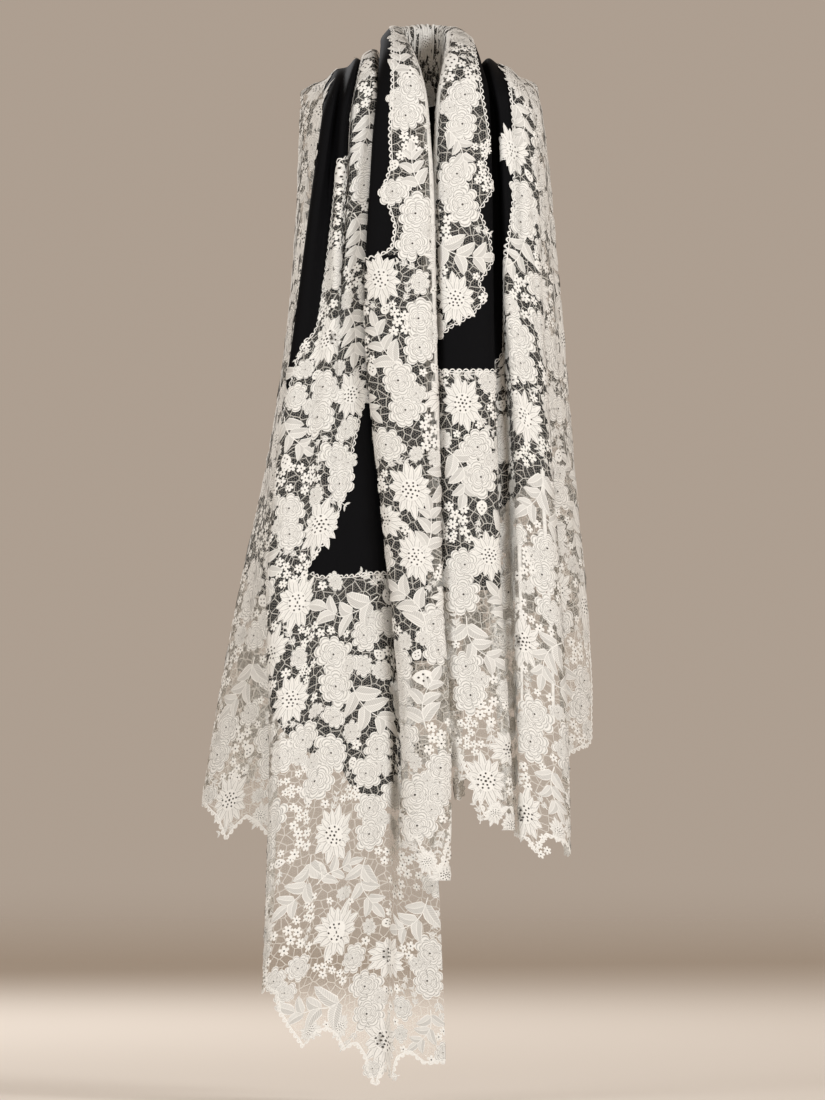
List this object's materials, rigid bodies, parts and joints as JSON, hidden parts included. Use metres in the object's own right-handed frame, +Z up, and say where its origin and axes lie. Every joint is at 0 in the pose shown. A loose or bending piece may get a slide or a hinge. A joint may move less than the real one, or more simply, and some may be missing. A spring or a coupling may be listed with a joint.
{
  "type": "lace shawl",
  "caption": "Long black shawl with a wide ivory floral lace border, shown as it hangs when worn: rolled along the neck, in folds over both shoulders, with a long front end.",
  "frame": {"origin": "on the centre line, at the height where the wearer's shoulders carry the cloth", "axes": "+Z up, the front of the worn shawl faces -Y, +X is the viewer's right seen from the front"},
  "size_m": [0.5364, 0.2744, 1.4133],
  "materials": {
    "black_cloth": "matte plain weave",
    "ivory_lace": "matte floral lace on a fine net"
  },
  "bodies": {
    "root": {"field_left_front": "black_cloth", "field_left_side": "black_cloth", "field_back": "black_cloth", "field_right_front": "black_cloth", "field_roll_left": "black_cloth", "field_collar": "black_cloth", "field_roll_right": "black_cloth", "field_nape": "black_cloth", "lace_left_band": "ivory_lace", "lace_left_end": "ivory_lace", "lace_left_side": "ivory_lace", "lace_back": "ivory_lace", "lace_right_side": "ivory_lace", "lace_right_end": "ivory_lace", "lace_roll_left": "ivory_lace", "lace_roll_left_strip": "ivory_lace", "lace_collar": "ivory_lace", "lace_roll_right_strip": "ivory_lace", "lace_roll_right": "ivory_lace"}
  },
  "joints": []
}
